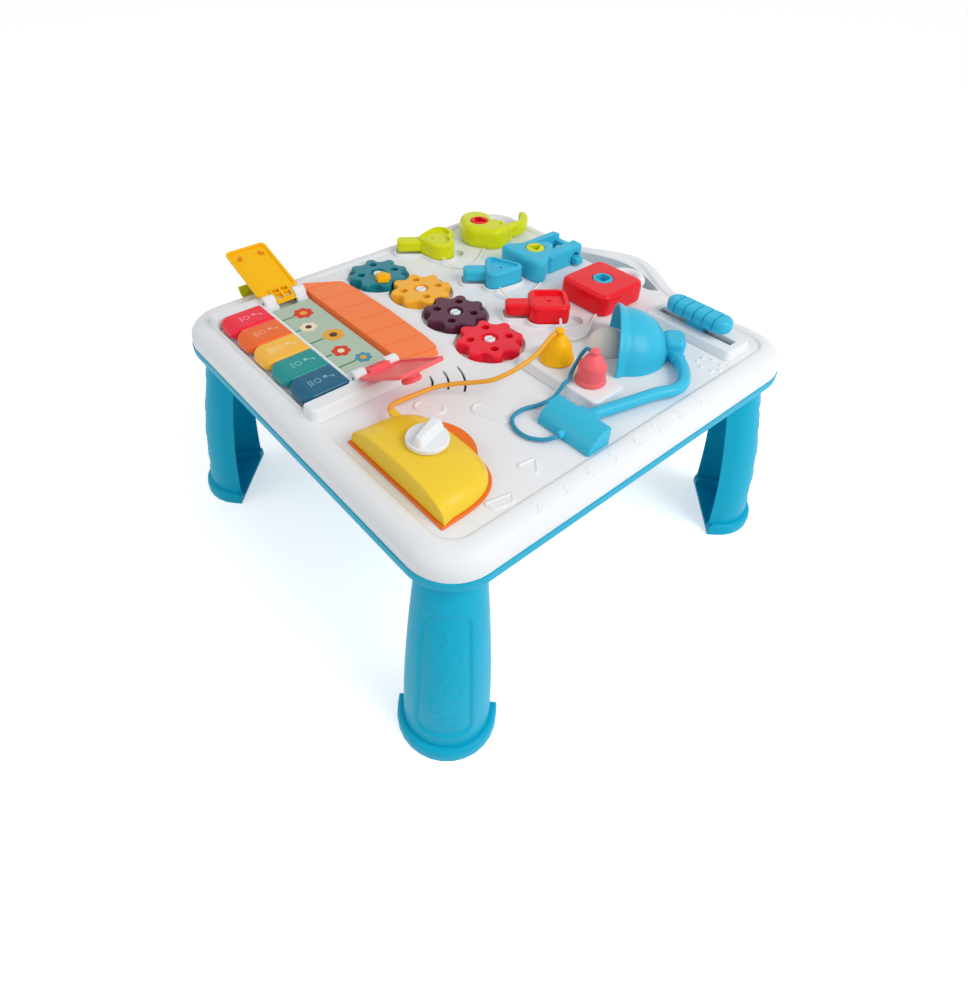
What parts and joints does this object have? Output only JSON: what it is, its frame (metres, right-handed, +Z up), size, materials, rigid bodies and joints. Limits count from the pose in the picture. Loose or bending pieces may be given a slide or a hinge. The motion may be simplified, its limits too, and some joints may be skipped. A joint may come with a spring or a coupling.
{
  "type": "musical activity table",
  "caption": "Low toddler play table: white deck on splayed legs with doors and piano keys, gears, locks and keys, slider, lamp, plugs and dial.",
  "frame": {"origin": "on the floor under the middle of the bounding box", "axes": "+X across the deck to the lamp and dial, +Y from the piano keys to the carry handle, +Z up"},
  "size_m": [0.4634, 0.4898, 0.2731],
  "materials": {
    "white_shell": "satin",
    "white_part": "satin",
    "cyan": "satin",
    "sky": "satin",
    "teal": "satin",
    "amber": "satin",
    "plum": "satin",
    "crimson": "satin",
    "red": "satin",
    "lime": "satin",
    "roof_orange": "satin",
    "door_yellow": "satin",
    "pink": "satin",
    "card": "printed",
    "steel": "brushed",
    "key_red": "satin",
    "key_orange": "satin",
    "key_yellow": "satin",
    "key_green": "satin",
    "key_navy": "satin",
    "dial_yellow": "satin",
    "dial_orange": "satin",
    "yellow_cord": "soft",
    "blue_cord": "soft",
    "white_cord": "soft",
    "bulb": "satin",
    "board": "matte",
    "black": "matte"
  },
  "bodies": {
    "root": {"heart_lock_body": "lime", "triangle_lock_body": "sky", "square_lock_body": "red", "tether_heart": "white_cord", "tether_triangle": "white_cord", "tether_square": "white_cord", "slider_track": "white_part", "socket_box": "white_part", "lamp_base": "sky", "lamp_shade": "sky", "lamp_bulb": "bulb", "lamp_arm": "sky", "dial_base": "dial_orange", "dial_cover": "dial_yellow", "cord_yellow": "yellow_cord", "cord_blue": "blue_cord", "house_frame": "white_shell", "picture_card": "card", "roof": "roof_orange", "door_pin_yellow": "steel", "door_pin_pink": "steel", "piano_key_rod": "steel", "deck_shell": "white_shell", "deck_tray": "cyan", "battery_cover": "cyan", "circuit_board": "board", "speaker": "black", "leg_front_left": "cyan", "leg_back_left": "cyan", "leg_front_right": "cyan", "leg_back_right": "cyan"},
    "yellow_door": {"door_yellow": "door_yellow", "latch_pin": "steel"},
    "pink_door": {"door_pink": "pink"},
    "latch": {"door_latch": "lime"},
    "teal_gear": {"gear_teal": "teal"},
    "yellow_gear": {"gear_yellow": "amber"},
    "purple_gear": {"gear_purple": "plum"},
    "red_gear": {"gear_red": "crimson"},
    "star": {"star_knob": "door_yellow"},
    "heart_core": {"heart_keyway": "red"},
    "heart_hook": {"heart_lock_shackle": "lime"},
    "triangle_core": {"triangle_keyway": "lime"},
    "triangle_bolt": {"triangle_lock_bolt": "white_part", "triangle_lock_lug": "sky"},
    "square_core": {"square_keyway": "sky"},
    "square_hoop": {"square_lock_shackle": "white_part"},
    "heart_key": {"key_heart": "lime"},
    "triangle_key": {"key_triangle": "sky"},
    "square_key": {"key_square": "red"},
    "slider": {"slider_grip": "sky"},
    "yellow_plug": {"plug_yellow": "door_yellow"},
    "pink_plug": {"plug_pink": "pink"},
    "dial": {"dial_knob": "white_part", "dial_disc": "dial_orange"},
    "piano_1": {"piano_key_1": "key_red"},
    "piano_2": {"piano_key_2": "key_orange"},
    "piano_3": {"piano_key_3": "key_yellow"},
    "piano_4": {"piano_key_4": "key_green"},
    "piano_5": {"piano_key_5": "key_navy"}
  },
  "joints": [
    {"name": "yellow_door_hinge", "type": "hinge", "parent": "root", "child": "yellow_door", "pos_m": [-0.15369, -0.13134, 0.2328], "axis": [0, 1, 0], "range_deg": [0, 161.7]},
    {"name": "pink_door_hinge", "type": "hinge", "parent": "root", "child": "pink_door", "pos_m": [0.00451, -0.13134, 0.2328], "axis": [0, 1, 0], "range_deg": [-149.5, 0]},
    {"name": "latch_hinge", "type": "hinge", "parent": "yellow_door", "child": "latch", "pos_m": [-0.20298, -0.13134, 0.24299], "axis": [0, 1, 0], "range_deg": [0, 96]},
    {"name": "teal_gear_spin", "type": "hinge", "parent": "root", "child": "teal_gear", "pos_m": [-0.14839, -0.02104, 0.22], "axis": [0, 0, 1], "continuous": true},
    {"name": "yellow_gear_spin", "type": "hinge", "parent": "root", "child": "yellow_gear", "pos_m": [-0.09275, -0.00613, 0.22], "axis": [0, 0, 1], "continuous": true},
    {"name": "purple_gear_spin", "type": "hinge", "parent": "root", "child": "purple_gear", "pos_m": [-0.03518, -0.00804, 0.22], "axis": [0, 0, 1], "continuous": true},
    {"name": "red_gear_spin", "type": "hinge", "parent": "root", "child": "red_gear", "pos_m": [0.02209, -0.01416, 0.22], "axis": [0, 0, 1], "continuous": true},
    {"name": "star_spin", "type": "hinge", "parent": "teal_gear", "child": "star", "pos_m": [-0.13069, -0.02645, 0.22], "axis": [0, 0, 1], "continuous": true},
    {"name": "heart_key_turn", "type": "hinge", "parent": "root", "child": "heart_core", "pos_m": [-0.15099, 0.12494, 0.22], "axis": [0, 0, 1], "range_deg": [-90, 0]},
    {"name": "heart_hook_swing", "type": "hinge", "parent": "root", "child": "heart_hook", "pos_m": [-0.12619, 0.14414, 0.22], "axis": [0, 0, 1], "range_deg": [0, 38]},
    {"name": "triangle_key_turn", "type": "hinge", "parent": "root", "child": "triangle_core", "pos_m": [-0.0601, 0.12554, 0.22], "axis": [0, 0, 1], "range_deg": [-90, 0]},
    {"name": "triangle_bolt_slide", "type": "slide", "parent": "root", "child": "triangle_bolt", "axis": [-1, 0, 0], "range_m": [0, 0.0045]},
    {"name": "square_key_turn", "type": "hinge", "parent": "root", "child": "square_core", "pos_m": [0.03108, 0.13045, 0.22], "axis": [0, 0, 1], "range_deg": [-90, 0]},
    {"name": "square_hoop_slide", "type": "slide", "parent": "root", "child": "square_hoop", "axis": [0, 1, 0], "range_m": [0, 0.008]},
    {"name": "heart_key_lift", "type": "slide", "parent": "root", "child": "heart_key", "axis": [0, 0, 1], "range_m": [0, 0.06], "deforming": ["tether_heart"]},
    {"name": "triangle_key_lift", "type": "slide", "parent": "root", "child": "triangle_key", "axis": [0, 0, 1], "range_m": [0, 0.06], "deforming": ["tether_triangle"]},
    {"name": "square_key_lift", "type": "slide", "parent": "root", "child": "square_key", "axis": [0, 0, 1], "range_m": [0, 0.06], "deforming": ["tether_square"]},
    {"name": "slider_slide", "type": "slide", "parent": "root", "child": "slider", "axis": [1, 0, 0], "range_m": [-0.028, 0.028]},
    {"name": "yellow_plug_lift", "type": "slide", "parent": "root", "child": "yellow_plug", "axis": [0, 0, 1], "range_m": [0, 0.025], "deforming": ["cord_yellow"]},
    {"name": "pink_plug_lift", "type": "slide", "parent": "root", "child": "pink_plug", "axis": [0, 0, 1], "range_m": [0, 0.025], "deforming": ["cord_blue"]},
    {"name": "dial_turn", "type": "hinge", "parent": "root", "child": "dial", "pos_m": [0.1149, -0.16093, 0.22], "axis": [0, 0, 1], "range_deg": [-45, 45]},
    {"name": "piano_key_1_press", "type": "hinge", "parent": "root", "child": "piano_1", "pos_m": [-0.13879, -0.15114, 0.2229], "axis": [1, 0, 0], "range_deg": [0, 4.5], "stiffness_Nm_per_rad": 0.6, "springref_deg": -2.29},
    {"name": "piano_key_2_press", "type": "hinge", "parent": "root", "child": "piano_2", "pos_m": [-0.10669, -0.15114, 0.2229], "axis": [1, 0, 0], "range_deg": [0, 4.5], "stiffness_Nm_per_rad": 0.6, "springref_deg": -2.29},
    {"name": "piano_key_3_press", "type": "hinge", "parent": "root", "child": "piano_3", "pos_m": [-0.07459, -0.15114, 0.2229], "axis": [1, 0, 0], "range_deg": [0, 4.5], "stiffness_Nm_per_rad": 0.6, "springref_deg": -2.29},
    {"name": "piano_key_4_press", "type": "hinge", "parent": "root", "child": "piano_4", "pos_m": [-0.04249, -0.15114, 0.2229], "axis": [1, 0, 0], "range_deg": [0, 4.5], "stiffness_Nm_per_rad": 0.6, "springref_deg": -2.29},
    {"name": "piano_key_5_press", "type": "hinge", "parent": "root", "child": "piano_5", "pos_m": [-0.01039, -0.15114, 0.2229], "axis": [1, 0, 0], "range_deg": [0, 4.5], "stiffness_Nm_per_rad": 0.6, "springref_deg": -2.29}
  ],
  "couplings": [
    {"joint": "yellow_gear_spin", "follows": "teal_gear_spin", "ratio": -1},
    {"joint": "purple_gear_spin", "follows": "teal_gear_spin", "ratio": 1},
    {"joint": "red_gear_spin", "follows": "teal_gear_spin", "ratio": -1},
    {"joint": "heart_hook_swing", "follows": "heart_key_turn", "ratio": -0.42222},
    {"joint": "triangle_key_turn", "follows": "triangle_bolt_slide", "rad_per_m": -349.07},
    {"joint": "square_key_turn", "follows": "square_hoop_slide", "rad_per_m": -196.35}
  ]
}
